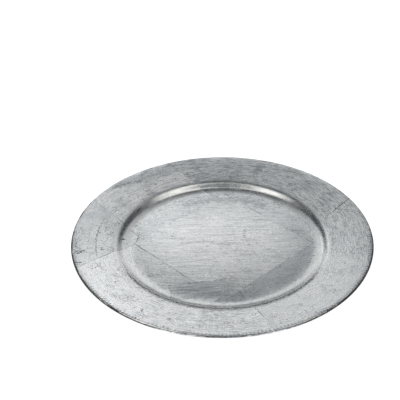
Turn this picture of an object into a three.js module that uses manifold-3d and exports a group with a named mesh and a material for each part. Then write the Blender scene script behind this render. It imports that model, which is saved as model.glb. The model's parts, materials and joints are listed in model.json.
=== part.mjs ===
// A round charger plate: one dark melamine moulding, covered on top with sheets of silver leaf.
// Millimetres, +Z up. The origin is on the table, at the centre of the foot ring.
// The photographed side faces -Y.

import * as THREE from 'three';
import { mergeVertices } from 'three/addons/utils/BufferGeometryUtils.js';
import Module from 'manifold-3d';

// Driving sizes of the moulding
const RIM_RADIUS = 165;
const FLOOR_RADIUS = 96;
const FLOOR_BORDER = 4.5;
const WALL = 2.7;
const FOOT_HEIGHT = 2.3;
const FOOT_WIDTH = 4;
const FOOT_INSET = 6;
const FOOT_DRAFT = 0.5;

// Slopes of the section, in degrees, where one stretch of it runs into the next
const FLOOR_BREAK = 2;
const COVE_SLOPE = 13;
const WALL_SLOPE = 32;
const SHOULDER_SLOPE = 13;
const RIM_SLOPE = 8.6;

// Radii of the arcs between those slopes
const COVE_RADIUS = 34;
const WALL_FOOT_RADIUS = 23;
const SHOULDER_RADIUS = 13;
const RIM_LEAD_RADIUS = 60;

// Driving sizes of the leaf, then the turn of the grid that it is laid on and how far it folds
// down round the rim's edge, both in degrees
const LEAF_SIZE = 140;
const LEAF_THICKNESS = 0.2;
const LEAF_LAP = 6;
const LEAF_TURN = 45;
const LEAF_FOLD = 90;

// How far in from the rim's edge, or from the floor's edge, each scrap's corner lies, and its size
const RIM_BACK_INSET = 2.4;
const RIM_BACK_LENGTH = 124;
const RIM_BACK_WIDTH = 34;
const RIM_FRONT_INSET = 20.3;
const RIM_FRONT_LENGTH = 45;
const RIM_FRONT_WIDTH = 60;
const WELL_INSET = 3.4;
const WELL_LENGTH = 27;
const WELL_WIDTH = 61;

// Clearances
const GLUE_FILM = 0.05;
const JOIN_GAP = 0.3;

// Fineness of the round forms: steps in a full turn, degrees of slope to a facet, and edge steps
const TURN_STEPS = 72;
const FACET_SLOPE = 5;
const EDGE_STEPS = 6;

// Finish of the moulding and of the leaf, whose colour is scaled by each sheet's own tone
const BODY_FINISH = { color: new THREE.Color(0x17181a), roughness: 0.45, metalness: 0 };
const LEAF_FINISH = { color: new THREE.Color(0xbfc3c6), roughness: 0.38, metalness: 1 };

// Sheets and scraps in the order of laying, so a later one lies over an earlier one.
// A sheet's cell counts sheets from the centre along the two ways of the laying grid, to the back
// right and to the front right; slip is how far the hand missed that place, and twist how far it
// turned. A scrap mends a torn place: radius and azimuth place one corner, turn is the direction
// of the side that starts there, along its length, and across the width to its left.
const LAID = [
  { name: 'leaf_back_left', cell: [0, -1], slip: [0, 0], twist: 0, tone: 1.02 },
  {
    name: 'patch_rim_back', radius: RIM_RADIUS - RIM_BACK_INSET, azimuth: 148,
    turn: 30, along: RIM_BACK_LENGTH, across: RIM_BACK_WIDTH, tone: 0.88,
  },
  { name: 'leaf_back_right', cell: [1, 0], slip: [0, 0], twist: 0, tone: 0.95 },
  { name: 'leaf_back', cell: [1, -1], slip: [-5.6, 1], twist: 0, tone: 0.9 },
  { name: 'leaf_left', cell: [-1, -1], slip: [7.4, 2], twist: 0, tone: 0.98 },
  { name: 'leaf_front_left', cell: [-1, 0], slip: [-2, 3.5], twist: 1, tone: 1.06 },
  { name: 'leaf_front', cell: [-1, 1], slip: [21, 0], twist: 0, tone: 0.96 },
  { name: 'leaf_front_right', cell: [0, 1], slip: [11.7, -15.5], twist: -21.8, tone: 1.04 },
  { name: 'leaf_right', cell: [1, 1], slip: [8, -10], twist: 0, tone: 0.93 },
  {
    name: 'patch_rim_front', radius: RIM_RADIUS - RIM_FRONT_INSET, azimuth: 246.8,
    turn: -145, along: RIM_FRONT_LENGTH, across: RIM_FRONT_WIDTH, tone: 1,
  },
  { name: 'leaf_centre', cell: [0, 0], slip: [1.75, 0], twist: 0, tone: 1.05 },
  {
    name: 'patch_well', radius: FLOOR_RADIUS - WELL_INSET, azimuth: 232,
    turn: -79, along: WELL_LENGTH, across: WELL_WIDTH, tone: 0.8,
  },
];

const wasm = await Module();
wasm.setup();

const radians = THREE.MathUtils.degToRad;
const floorTop = FOOT_HEIGHT + WALL;
const edgeRound = WALL / 2;
const rimSlope = radians(RIM_SLOPE);
const rimEnd = RIM_RADIUS - edgeRound - edgeRound * Math.sin(rimSlope);

// Past the floor's border, the top of the section is a chain of tangent arcs, each with the slope
// at its outer end. A hollow arc has its centre above the surface, a round one below it.
const SECTION = [
  { hollow: true, radius: COVE_RADIUS, slope: radians(COVE_SLOPE) },
  { hollow: true, radius: WALL_FOOT_RADIUS, slope: radians(WALL_SLOPE) },
  { hollow: false, radius: SHOULDER_RADIUS, slope: radians(SHOULDER_SLOPE) },
  { hollow: false, radius: RIM_LEAD_RADIUS, slope: rimSlope },
];

// The way straight up from a surface of the section that rises outward at this slope
function normalAt(slope) {
  return new THREE.Vector2(-Math.sin(slope), Math.cos(slope));
}

// Points of the surface that lies lift above the moulding's top, from the floor's edge out to
// the point over radius reach of the moulding. A negative lift gives the underside.
function sectionPoints(lift, reach) {
  const points = [];
  const floorEdge = new THREE.Vector2(FLOOR_RADIUS, floorTop);
  let slope = radians(FLOOR_BREAK);
  points.push(new THREE.Vector2(-Math.tan(slope / 2), 1).multiplyScalar(lift).add(floorEdge));
  let top = new THREE.Vector2(1, Math.tan(slope)).multiplyScalar(FLOOR_BORDER).add(floorEdge);
  points.push(normalAt(slope).multiplyScalar(lift).add(top));
  for (const arc of SECTION) {
    const radius = arc.hollow ? arc.radius : -arc.radius;
    const centre = normalAt(slope).multiplyScalar(radius).add(top);
    const steps = Math.ceil(Math.abs(arc.slope - slope) / radians(FACET_SLOPE));
    for (let step = 1; step <= steps; step += 1) {
      const angle = THREE.MathUtils.lerp(slope, arc.slope, step / steps);
      top = normalAt(angle).multiplyScalar(-radius).add(centre);
      points.push(normalAt(angle).multiplyScalar(lift).add(top));
    }
    slope = arc.slope;
  }
  const rimRise = (reach - top.x) * Math.tan(slope);
  const rimTop = new THREE.Vector2(reach, top.y + rimRise);
  points.push(normalAt(slope).multiplyScalar(lift).add(rimTop));
  return points;
}

// Even turns round the rim's edge from the end of its top, as far as reach
function edgeTurns(reach) {
  const steps = Math.ceil(EDGE_STEPS * reach / Math.PI);
  return Array.from({ length: steps }, (_, step) => reach * (step + 1) / steps);
}

// Points that lie lift off the half round of the rim's edge, one for each turn
function edgePoints(lift, turns) {
  const topEnd = sectionPoints(0, rimEnd).at(-1);
  const centre = normalAt(rimSlope).multiplyScalar(-edgeRound).add(topEnd);
  return turns.map((turn) => normalAt(rimSlope - turn).multiplyScalar(edgeRound + lift).add(centre));
}

// The foot ring, with drafted sides, from its inner side to its outer side
function footPoints() {
  const outer = FLOOR_RADIUS - FOOT_INSET;
  const inner = outer - FOOT_WIDTH;
  return [
    new THREE.Vector2(inner - FOOT_DRAFT, FOOT_HEIGHT),
    new THREE.Vector2(inner, 0),
    new THREE.Vector2(outer, 0),
    new THREE.Vector2(outer + FOOT_DRAFT, FOOT_HEIGHT),
  ];
}

// A closed solid from a geometry: corners that meet are shared, and triangles with no area go
function solidOf(geometry) {
  const bare = geometry.clone();
  bare.deleteAttribute('normal');
  bare.deleteAttribute('uv');
  const merged = mergeVertices(bare);
  const corners = [];
  for (let start = 0; start < merged.index.count; start += 3) {
    const [a, b, c] = [0, 1, 2].map((offset) => merged.index.getX(start + offset));
    if (a !== b && b !== c && c !== a) {
      corners.push(a, b, c);
    }
  }
  return new wasm.Manifold(new wasm.Mesh({
    numProp: 3,
    vertProperties: new Float32Array(merged.attributes.position.array),
    triVerts: new Uint32Array(corners),
  }));
}

// A solid turned about the plate's axis from a section that starts and ends on the axis
function turned(section) {
  const geometry = new THREE.LatheGeometry(section, TURN_STEPS);
  geometry.rotateX(Math.PI / 2);
  return solidOf(geometry);
}

// A named mesh with its own material
function meshOf(name, solid, finish, tone) {
  const { vertProperties, triVerts } = solid.getMesh();
  const geometry = new THREE.BufferGeometry();
  geometry.setAttribute('position', new THREE.BufferAttribute(new Float32Array(vertProperties), 3));
  geometry.setIndex(new THREE.BufferAttribute(new Uint32Array(triVerts), 1));
  geometry.computeVertexNormals();
  const material = new THREE.MeshStandardMaterial(finish);
  material.color.multiplyScalar(tone);
  const mesh = new THREE.Mesh(geometry, material);
  mesh.name = name;
  return mesh;
}

// The moulding: out from the axis along foot and underside, round the edge and back along the top
function melamineBody() {
  const edge = edgePoints(0, edgeTurns(Math.PI).slice(0, -1));
  return turned([
    new THREE.Vector2(0, FOOT_HEIGHT),
    ...footPoints(),
    ...sectionPoints(-WALL, rimEnd),
    ...edge.reverse(),
    ...sectionPoints(0, rimEnd).reverse(),
    new THREE.Vector2(0, floorTop),
  ]);
}

// One unbroken skin of leaf over the whole top and down round the rim's edge, to cut sheets from
function leafSkin() {
  const turns = edgeTurns(radians(LEAF_FOLD));
  const under = GLUE_FILM;
  const over = GLUE_FILM + LEAF_THICKNESS;
  return turned([
    new THREE.Vector2(0, floorTop + under),
    ...sectionPoints(under, rimEnd),
    ...edgePoints(under, turns),
    ...edgePoints(over, turns).reverse(),
    ...sectionPoints(over, rimEnd).reverse(),
    new THREE.Vector2(0, floorTop + over),
  ]);
}

// A tall block over a sheet or scrap of the given length and width
function tallBlock(length, width) {
  const tall = 2 * RIM_RADIUS;
  return new THREE.BoxGeometry(length, width, tall);
}

// The block over a laid sheet, wider by grow on every side
function blockOverSheet(sheet, grow) {
  const pitch = LEAF_SIZE - LEAF_LAP;
  const backRight = sheet.cell[0] * pitch + sheet.slip[0];
  const frontRight = sheet.cell[1] * pitch + sheet.slip[1];
  const side = LEAF_SIZE + 2 * grow;
  const block = tallBlock(side, side);
  block.rotateZ(radians(sheet.twist));
  block.translate(backRight, -frontRight, 0);
  block.rotateZ(radians(LEAF_TURN));
  return solidOf(block);
}

// The block over a laid scrap, wider by grow on every side
function blockOverScrap(scrap, grow) {
  const corner = new THREE.Vector2(scrap.radius, 0);
  corner.rotateAround(new THREE.Vector2(), radians(scrap.azimuth));
  const block = tallBlock(scrap.along + 2 * grow, scrap.across + 2 * grow);
  block.translate(scrap.along / 2, scrap.across / 2, 0);
  block.rotateZ(radians(scrap.turn));
  block.translate(corner.x, corner.y, 0);
  return solidOf(block);
}

function blockOver(piece, grow) {
  return piece.cell ? blockOverSheet(piece, grow) : blockOverScrap(piece, grow);
}

const plate = new THREE.Group();
plate.add(meshOf('melamine_body', melamineBody(), BODY_FINISH, 1));

// Each piece of leaf is its own outline cut from the skin, less all that was laid over it later
const skin = leafSkin();
LAID.forEach((piece, order) => {
  const later = LAID.slice(order + 1);
  const whole = skin.intersect(blockOver(piece, 0));
  const showing = later.reduce((left, over) => left.subtract(blockOver(over, JOIN_GAP)), whole);
  plate.add(meshOf(piece.name, showing, LEAF_FINISH, piece.tone));
});

export default plate;
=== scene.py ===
# %% [markdown]
# # A silver-leaf charger plate
# A charger is the wide plate that lies under a dinner plate. This one is a thin black melamine
# moulding whose top is covered with square sheets of metal leaf, laid by hand and brushed down.
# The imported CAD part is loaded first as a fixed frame. Everything made here keeps its metres, its
# axes and its sizes, so each piece comes to lie where its CAD node lies.

# %% Load the frame
import json
import math
from collections import namedtuple

import bpy
import numpy as np
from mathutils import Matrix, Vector
from mathutils.geometry import delaunay_2d_cdt

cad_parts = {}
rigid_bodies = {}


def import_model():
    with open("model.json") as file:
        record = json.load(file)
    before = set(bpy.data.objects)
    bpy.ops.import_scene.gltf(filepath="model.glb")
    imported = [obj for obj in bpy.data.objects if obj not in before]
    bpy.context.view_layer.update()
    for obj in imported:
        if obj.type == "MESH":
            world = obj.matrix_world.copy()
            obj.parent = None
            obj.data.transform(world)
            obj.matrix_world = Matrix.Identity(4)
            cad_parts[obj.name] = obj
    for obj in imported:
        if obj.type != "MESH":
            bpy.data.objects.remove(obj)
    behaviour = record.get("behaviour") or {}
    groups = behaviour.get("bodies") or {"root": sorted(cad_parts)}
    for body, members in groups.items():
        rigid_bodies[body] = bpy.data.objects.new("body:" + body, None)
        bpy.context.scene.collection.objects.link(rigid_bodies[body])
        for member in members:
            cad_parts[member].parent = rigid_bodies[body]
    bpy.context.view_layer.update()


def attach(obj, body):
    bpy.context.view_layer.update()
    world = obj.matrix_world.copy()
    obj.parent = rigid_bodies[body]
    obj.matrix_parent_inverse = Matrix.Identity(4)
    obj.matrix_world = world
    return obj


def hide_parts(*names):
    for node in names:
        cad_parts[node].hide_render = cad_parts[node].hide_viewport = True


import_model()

scene = bpy.context.scene
scene.view_settings.view_transform = "Standard"

# %% [markdown]
# ## The section
# Cut through the middle, the plate shows one line: a flat floor with a slightly raised border, a
# hollow cove, a short steep wall, a round shoulder and a straight rim. It could be drawn with a
# few points and a subdivision surface, but then the wall's highlights would wander. Tangent arcs,
# each with the slope at its outer end, give a smooth line that can be sampled as finely as needed.
# The floor, cove, shoulder and rim are the CAD part's. The wall has a flatter foot and is a little
# steeper, which puts its dark and bright bands where the real plate has them.

# %% Sizes of the moulding, in metres and degrees
RIM_RADIUS = 0.165
FLOOR_RADIUS = 0.096
FLOOR_BORDER = 0.0045
WALL = 0.0027
FOOT_HEIGHT = 0.0023
FOOT_WIDTH = 0.004
FOOT_INSET = 0.006
FOOT_DRAFT = 0.0005
FLOOR_BREAK = 2.0
RIM_SLOPE = 8.6
HOLLOW, ROUND = 1, -1
ARCS = (
    # side, radius, slope at the outer end
    (HOLLOW, 0.034, 13.0),
    (HOLLOW, 0.080, 15.0),
    (HOLLOW, 0.0115, 36.0),
    (ROUND, 0.013, 13.0),
    (ROUND, 0.045, RIM_SLOPE),
)
ARC_STEP = 1.5
FLOOR_TOP = FOOT_HEIGHT + WALL
EDGE_ROUND = WALL / 2
RIM_END = RIM_RADIUS - EDGE_ROUND * (1 + math.sin(math.radians(RIM_SLOPE)))
print("floor top at", round(FLOOR_TOP, 5), "rim ends at", round(RIM_END, 5))


# %% The section as a line of points
def straight_up(slope):
    """The direction square to a surface that rises outward at this slope."""
    return np.array((-math.sin(slope), math.cos(slope)))


def section(lift):
    """Radius and height of the surface that lies this far above the moulding's top."""
    slope = math.radians(FLOOR_BREAK)
    top = np.array((FLOOR_RADIUS, FLOOR_TOP))
    line = [(0.0, FLOOR_TOP + lift), tuple(top + lift * np.array((-math.tan(slope / 2), 1.0)))]
    top = top + FLOOR_BORDER * np.array((1.0, math.tan(slope)))
    line.append(tuple(top + lift * straight_up(slope)))
    for side, radius, end in ARCS:
        centre = top + side * radius * straight_up(slope)
        end = math.radians(end)
        count = 2 + int(abs(end - slope) / math.radians(ARC_STEP))
        for angle in np.linspace(slope, end, count)[1:]:
            top = centre - side * radius * straight_up(angle)
            line.append(tuple(top + lift * straight_up(angle)))
        slope = end
    rim = np.array((RIM_END, top[1] + (RIM_END - top[0]) * math.tan(slope)))
    line.append(tuple(rim + lift * straight_up(slope)))
    return np.array(line)


top_line = section(0)
print("section:", len(top_line), "points, rim edge at", top_line[-1].round(5))

# %% [markdown]
# ## The camera
# The plate was photographed from about a metre away, 36 degrees above the table. A long lens on
# the default sensor gives the same narrow view, and a small shift puts the plate to the right of
# and below the middle of the square picture without turning the camera.

# %% Set up the camera
CAMERA_REACH = 1.0
CAMERA_RISE = math.radians(36.33)
CAMERA_AIM = 0.01069
CAMERA_LENS = 81.6
CAMERA_SHIFT = (-0.0559, 0.0993)
camera = bpy.data.objects.new("camera", bpy.data.cameras.new("camera"))
scene.collection.objects.link(camera)
scene.camera = camera
camera.data.lens = CAMERA_LENS
camera.data.shift_x, camera.data.shift_y = CAMERA_SHIFT
camera.location = (
    0.0,
    -CAMERA_REACH * math.cos(CAMERA_RISE),
    CAMERA_AIM + CAMERA_REACH * math.sin(CAMERA_RISE),
)
camera.rotation_euler = (math.pi / 2 - CAMERA_RISE, 0.0, 0.0)
print("camera at", tuple(round(x, 4) for x in camera.location))

# %% [markdown]
# ## The lamps
# Metal shows what stands round it, so the lamps are chosen by what each part of the plate
# mirrors. The flat floor mirrors what stands behind it at 36 degrees, the front of the rim what
# stands lower, the back of the rim what stands higher, and the steep wall at the back what hangs
# overhead. Each of these places has panels of its own, so that the left can be brighter than the
# right. Weak panels at the sides and in front keep the plate silvery when it is seen from behind.
# Each lamp is a soft panel that faces the plate. Its power is worked out from how bright the panel
# looks, so panels of different sizes can be compared.

# %% Hang the panels
WARM, PLAIN = (1.0, 0.97, 0.92), (1.0, 0.99, 0.98)
PANEL_REACH = 0.9
PANELS = (
    # name, azimuth from straight behind, height angle, width, height, brightness, colour
    ("panel_behind_left", -15.0, 31.0, 0.20, 0.20, 1.00, PLAIN),
    ("panel_behind", 0.0, 31.0, 0.30, 0.20, 0.85, PLAIN),
    ("panel_behind_right", 15.0, 31.0, 0.20, 0.20, 0.42, PLAIN),
    ("panel_upper_left", -8.0, 39.0, 0.24, 0.08, 0.60, PLAIN),
    ("panel_upper_right", 8.0, 39.0, 0.24, 0.08, 0.40, PLAIN),
    ("panel_top", 0.0, 45.5, 0.40, 0.12, 0.40, PLAIN),
    ("panel_lower", 2.0, 23.0, 0.54, 0.12, 0.50, PLAIN),
    ("panel_mid_left", -13.0, 15.0, 0.24, 0.13, 1.20, PLAIN),
    ("panel_mid_right", 13.0, 15.0, 0.24, 0.13, 1.00, PLAIN),
    ("panel_over_left_back", -36.0, 68.0, 0.29, 0.22, 1.10, WARM),
    ("panel_over_left_front", -92.0, 64.0, 0.58, 0.42, 1.30, WARM),
    ("panel_over", 180.0, 80.0, 0.36, 0.50, 0.35, PLAIN),
    ("panel_over_right_back", 36.0, 68.0, 0.36, 0.26, 1.30, WARM),
    ("panel_over_right_front", 92.0, 64.0, 0.46, 0.32, 0.75, WARM),
    ("panel_side_left", -70.0, 13.0, 0.50, 0.34, 0.60, PLAIN),
    ("panel_side_right", 70.0, 13.0, 0.50, 0.34, 0.60, PLAIN),
    ("panel_fill_left", -115.0, 18.0, 0.60, 0.50, 0.60, PLAIN),
    ("panel_fill_front_left", -160.0, 18.0, 0.60, 0.50, 0.60, PLAIN),
    ("panel_fill_front_right", 160.0, 18.0, 0.60, 0.50, 0.60, PLAIN),
    ("panel_fill_right", 115.0, 18.0, 0.60, 0.50, 0.60, PLAIN),
)


def hang_panel(name, azimuth, rise, width, height, brightness, colour):
    """A rectangle of even light that faces the middle of the plate."""
    lamp = bpy.data.lights.new(name, "AREA")
    lamp.shape = "RECTANGLE"
    lamp.size, lamp.size_y = width, height
    lamp.energy = brightness * math.pi * width * height
    lamp.color = colour
    panel = bpy.data.objects.new(name, lamp)
    scene.collection.objects.link(panel)
    around, up = math.radians(azimuth), math.radians(rise)
    flat = math.cos(up)
    towards = Vector((math.sin(around) * flat, math.cos(around) * flat, math.sin(up)))
    panel.location = towards * PANEL_REACH
    panel.rotation_euler = towards.to_track_quat("Z", "Y").to_euler()
    panel.visible_camera = False
    print(name, "power", round(lamp.energy, 3))


for row in PANELS:
    hang_panel(*row)

# %% [markdown]
# ## The room and the floor
# The room is a dim even grey, which fills the shadows a little. The floor is one wide pale sheet
# with a low backdrop at its far sides, so that a low view ends in white too. A bright lamp could
# make it white, but would bleach the plate as well. So it glows for the rays that the camera sees,
# straight, in a mirror or through glass, while all other rays meet a plain matt sheet. Part of its
# whiteness still comes from the lamps, so the plate's shadow shows on it.

# %% Make the room
ROOM_COLOUR = (0.82, 0.96, 1.10, 1)
ROOM_BRIGHTNESS = 0.06
room = bpy.data.worlds.new("room")
scene.world = room
room.use_nodes = True
air = room.node_tree.nodes["Background"].inputs
air["Color"].default_value = ROOM_COLOUR
air["Strength"].default_value = ROOM_BRIGHTNESS
print("room", ROOM_BRIGHTNESS)


# %% Small helpers that place nodes
def plug(tree, socket, value):
    """Links a socket to another, or writes a plain value in it."""
    if isinstance(value, bpy.types.NodeSocket):
        tree.links.new(value, socket)
    else:
        socket.default_value = value


def place(tree, kind, settings=None, **inputs):
    """Places a node, with its settings and its inputs by name (spaces written as _)."""
    made = tree.nodes.new(kind)
    for key, value in (settings or {}).items():
        setattr(made, key, value)
    for key, value in inputs.items():
        plug(tree, made.inputs[key.replace("_", " ")], value)
    return made


def sums(tree, operation, *values, clamp=False):
    """A Math node, and its result."""
    made = tree.nodes.new("ShaderNodeMath")
    made.operation = operation
    made.use_clamp = clamp
    for socket, value in zip(made.inputs, values):
        plug(tree, socket, value)
    return made.outputs[0]


def new_material(name):
    """An empty node material and its output."""
    material = bpy.data.materials.new(name)
    material.use_nodes = True
    material.node_tree.nodes.clear()
    return material, material.node_tree, material.node_tree.nodes.new("ShaderNodeOutputMaterial")


print("helpers: plug, place, sums, new_material")

# %% Make the floor
FLOOR_COLOUR = (0.75, 0.75, 0.75, 1)
FLOOR_GLOW = 0.93
FLOOR_REACH = 12.0
BACKDROP_HEIGHT = 1.2


def make_floor():
    """A wide matt sheet with a low backdrop on all sides, which looks white."""
    mesh = bpy.data.meshes.new("floor")
    far = FLOOR_REACH
    corners = [(-far, -far), (far, -far), (far, far), (-far, far)]
    points = [(*corner, height) for height in (0.0, BACKDROP_HEIGHT) for corner in corners]
    walls = [(i, (i + 1) % 4, (i + 1) % 4 + 4, i + 4) for i in range(4)]
    mesh.from_pydata(points, [], [(0, 1, 2, 3)] + walls)
    floor = bpy.data.objects.new("floor", mesh)
    scene.collection.objects.link(floor)
    material, tree, output = new_material("white floor")
    rays = tree.nodes.new("ShaderNodeLightPath").outputs
    seen = sums(tree, "ADD", rays["Is Camera Ray"], rays["Is Glossy Ray"])
    seen = sums(tree, "ADD", seen, rays["Is Transmission Ray"], clamp=True)
    matt = place(tree, "ShaderNodeBsdfDiffuse", Color=FLOOR_COLOUR)
    glow = place(tree, "ShaderNodeEmission", Strength=sums(tree, "MULTIPLY", seen, FLOOR_GLOW))
    both = tree.nodes.new("ShaderNodeAddShader")
    tree.links.new(matt.outputs[0], both.inputs[0])
    tree.links.new(glow.outputs[0], both.inputs[1])
    tree.links.new(both.outputs[0], output.inputs["Surface"])
    floor.data.materials.append(material)
    return floor


make_floor()
print("floor", FLOOR_REACH, "glow", FLOOR_GLOW)

# %% [markdown]
# ## The moulding
# The body is turned like a pot: one outline, from the middle of the underside round the edge and
# back to the middle of the top, is spun about the axis. Melamine is pressed in a steel mould, so
# its corners are never sharp. The foot ring's corners are eased with small arcs before the spin.

# %% Draw the outline of the body
FOOT_EASE = 0.0006
UNDER_EASE = 0.0012
EASE_STEPS = 5
EDGE_STEPS = 14


def eased(before, corner, after, radius):
    """Points of an arc that rounds off the corner between two straight runs."""
    corner = np.array(corner)
    back, on = np.array(before) - corner, np.array(after) - corner
    back, on = back / np.linalg.norm(back), on / np.linalg.norm(on)
    half = math.acos(float(np.clip(back @ on, -1, 1))) / 2
    middle = back + on
    centre = corner + middle / np.linalg.norm(middle) * radius / math.sin(half)
    start = corner + back * radius / math.tan(half) - centre
    end = corner + on * radius / math.tan(half) - centre
    sweep = math.pi - 2 * half
    line = []
    for share in np.linspace(0, 1, EASE_STEPS):
        arm = math.sin((1 - share) * sweep) * start + math.sin(share * sweep) * end
        line.append(tuple(centre + arm / math.sin(sweep)))
    return line


def body_outline():
    """Radius and height round the body, from the underside's middle to the top's middle."""
    outer = FLOOR_RADIUS - FOOT_INSET
    inner = outer - FOOT_WIDTH
    under = section(-WALL)[1:]
    corners = [
        (0.0, FOOT_HEIGHT),
        (inner - FOOT_DRAFT, FOOT_HEIGHT),
        (inner, 0.0),
        (outer, 0.0),
        (outer + FOOT_DRAFT, FOOT_HEIGHT),
        tuple(under[0]),
    ]
    eases = (UNDER_EASE, FOOT_EASE, FOOT_EASE, UNDER_EASE)
    line = [corners[0]]
    for spot, radius in enumerate(eases, start=1):
        line += eased(corners[spot - 1], corners[spot], corners[spot + 1], radius)
    line += [tuple(point) for point in under]
    slope = math.radians(RIM_SLOPE)
    centre = top_line[-1] - EDGE_ROUND * straight_up(slope)
    for angle in np.linspace(slope - math.pi, slope, EDGE_STEPS)[1:-1]:
        line.append(tuple(centre + EDGE_ROUND * straight_up(angle)))
    return line + [tuple(point) for point in top_line[::-1]]


outline = body_outline()
print("outline:", len(outline), "points")

# %% Spin the outline
TURN_STEPS = 288
SHARP_ANGLE = math.radians(40)


def spun(name, line):
    """A closed mesh turned about the axis from a line that starts and ends on it."""
    angles = np.linspace(0, 2 * math.pi, TURN_STEPS, endpoint=False)
    corners = [(0.0, 0.0, line[0][1])]
    for radius, height in line[1:-1]:
        corners += [(radius * math.cos(a), radius * math.sin(a), height) for a in angles]
    corners.append((0.0, 0.0, line[-1][1]))
    last_ring = len(corners) - 1 - TURN_STEPS
    faces = []
    for step in range(TURN_STEPS):
        beside = (step + 1) % TURN_STEPS
        faces.append((0, 1 + beside, 1 + step))
        for ring in range(1, last_ring, TURN_STEPS):
            over = ring + TURN_STEPS
            faces.append((ring + step, ring + beside, over + beside, over + step))
        faces.append((last_ring + step, last_ring + beside, len(corners) - 1))
    mesh = bpy.data.meshes.new(name)
    mesh.from_pydata(corners, [], faces)
    return mesh


def show(name, mesh, node):
    """Puts a mesh in the scene in place of a CAD node, riding on the one body."""
    mesh.shade_smooth()
    mesh.set_sharp_from_angle(angle=SHARP_ANGLE)
    piece = bpy.data.objects.new(name, mesh)
    scene.collection.objects.link(piece)
    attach(piece, "root")
    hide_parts(node)
    return piece


body = show("moulded_body", spun("moulded_body", outline), "melamine_body")
print("body:", len(body.data.polygons), "faces")

# %% [markdown]
# ## How the leaf was laid
# The plate lies under a grid of 140 mm sheets, turned by 45 degrees, and each sheet laps a little
# over the ones laid before it. No hand lays them perfectly, so each has its own slip and twist.
# Three torn scraps mend bare places. The tables give the place of each, its joins, its tone in the
# well and on the rim and the way it was brushed. These tones are partly the leaf's own and partly
# painted reflection: some sheets are painted darker or lighter, as the light they mirror would make
# them. ORDER gives the order of laying.

# %% The sheets and scraps
LEAF_SIZE = 0.140
LEAF_LAP = 0.006
LEAF_TURN = math.radians(45)
GLUE_FILM = 0.00005
LEAF_THICKNESS = 0.0002
EVEN = ((0.1, 0.1),) * 4
SHEETS = {
    # name: cell, slip, twist, joins, tear, tone in the well, tone on the rim, brushed at, brush
    # depth, wear. Both tones are partly painted reflection. The joins are the widths in millimetres at
    # the start and end of the sides at the front right, back right, back left and front left, going
    # round to the left.
    "leaf_back_left": ((0, -1), (0.0, 0.0), 0.0, EVEN, 0.3, 0.95, 1.13, 4, 1.1, 0.8),
    "leaf_back_right": ((1, 0), (0.0, 0.0), 0.0, EVEN, 0.3, 0.95, 1.00, -3, 1.6, 0.8),
    "leaf_back": (
        (1, -1), (-0.0056, 0.001), 0.0,
        ((0.02, 0.02), (0.1, 0.1), (0.1, 0.1), (0.08, 0.08)), 0.3, 0.85, 0.92, 2, 2.1, 0.6,
    ),
    "leaf_left": (
        (-1, -1), (0.0074, 0.002), 0.0,
        ((0.1, 0.1), (0.3, 0.3), (0.1, 0.1), (0.1, 0.1)), 0.3, 0.98, 1.01, 8, 0.5, 0.8,
    ),
    "leaf_front_left": (
        (-1, 0), (-0.002, 0.0035), 1.0,
        ((0.1, 0.1), (0.1, 0.1), (0.28, 0.28), (0.1, 0.1)), 0.35, 1.02, 1.15, -6, 0.9, 0.9,
    ),
    "leaf_front": ((-1, 1), (0.021, 0.0), 0.0, EVEN, 0.4, 0.64, 1.16, 0, 1.5, 0.8),
    "leaf_front_right": (
        (0, 1), (0.0117, -0.0155), -21.8,
        ((0.1, 0.1), (0.1, 0.1), (0.1, 0.1), (0.0, 0.6)), 0.2, 0.85, 1.05, 14, 0.7, 0.7,
    ),
    "leaf_right": (
        (1, 1), (0.008, -0.010), 0.0,
        ((0.1, 0.1), (0.1, 0.1), (0.55, 0.0), (0.04, 0.04)), 0.2, 0.98, 1.04, 52, 1.5, 0.9,
    ),
    "leaf_centre": (
        (0, 0), (0.00175, 0.0), 0.0,
        ((0.14, 0.14), (0.3, 0.3), (0.06, 0.06), (0.8, 0.0)), 0.25, 1.03, 1.0, 0, 1.05, 0.6,
    ),
}
SCRAPS = {
    # name: corner radius, azimuth, turn, length, width, then as for the sheets
    "patch_rim_back": (
        (RIM_RADIUS - 0.0024, 148.0, 30.0, 0.124, 0.034), EVEN, 1.8, 0.95, 0.89, 30, 0.5, 1.0,
    ),
    "patch_rim_front": (
        (RIM_RADIUS - 0.0203, 246.8, -145.0, 0.045, 0.060), EVEN, 0.5, 1.0, 1.11, 10, 0.5, 0.6,
    ),
    "patch_well": (
        (FLOOR_RADIUS - 0.0034, 232.0, -79.0, 0.027, 0.061), EVEN, 1.2, 0.84, 0.9, 6, 1.7, 0.6,
    ),
}
ORDER = (
    "leaf_back_left", "patch_rim_back", "leaf_back_right", "leaf_back", "leaf_left",
    "leaf_front_left", "leaf_front", "leaf_front_right", "leaf_right", "patch_rim_front",
    "leaf_centre", "patch_well",
)
print("sheets:", len(SHEETS), "scraps:", len(SCRAPS))

# %% Where each one lies
Habits = namedtuple("Habits", "joins tear well_tone rim_tone brushed brush_depth wear")


def plane_turn(angle):
    """What turns rows of plan points by this angle."""
    return np.array(((math.cos(angle), math.sin(angle)), (-math.sin(angle), math.cos(angle))))


def habits(name):
    """Joins, tear, tones, brushing and wear of a sheet or scrap."""
    return Habits(*(SHEETS[name][3:] if name in SHEETS else SCRAPS[name][1:]))


def place_of(name):
    """Middle, turn, length and width of a sheet or scrap on the plate."""
    if name in SHEETS:
        cell, slip, twist = SHEETS[name][:3]
        pitch = LEAF_SIZE - LEAF_LAP
        along, across = (c * pitch + s for c, s in zip(cell, slip))
        middle = np.array((along, -across)) @ plane_turn(LEAF_TURN)
        return middle, LEAF_TURN + math.radians(twist), LEAF_SIZE, LEAF_SIZE
    radius, azimuth, turn, length, width = SCRAPS[name][0]
    turn = math.radians(turn)
    corner = radius * np.array((math.cos(math.radians(azimuth)), math.sin(math.radians(azimuth))))
    return corner + np.array((length, width)) / 2 @ plane_turn(turn), turn, length, width


for name in ORDER:
    middle, turn, length, width = place_of(name)
    print(name, "middle", middle.round(4), "turn", round(math.degrees(turn), 1))

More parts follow.
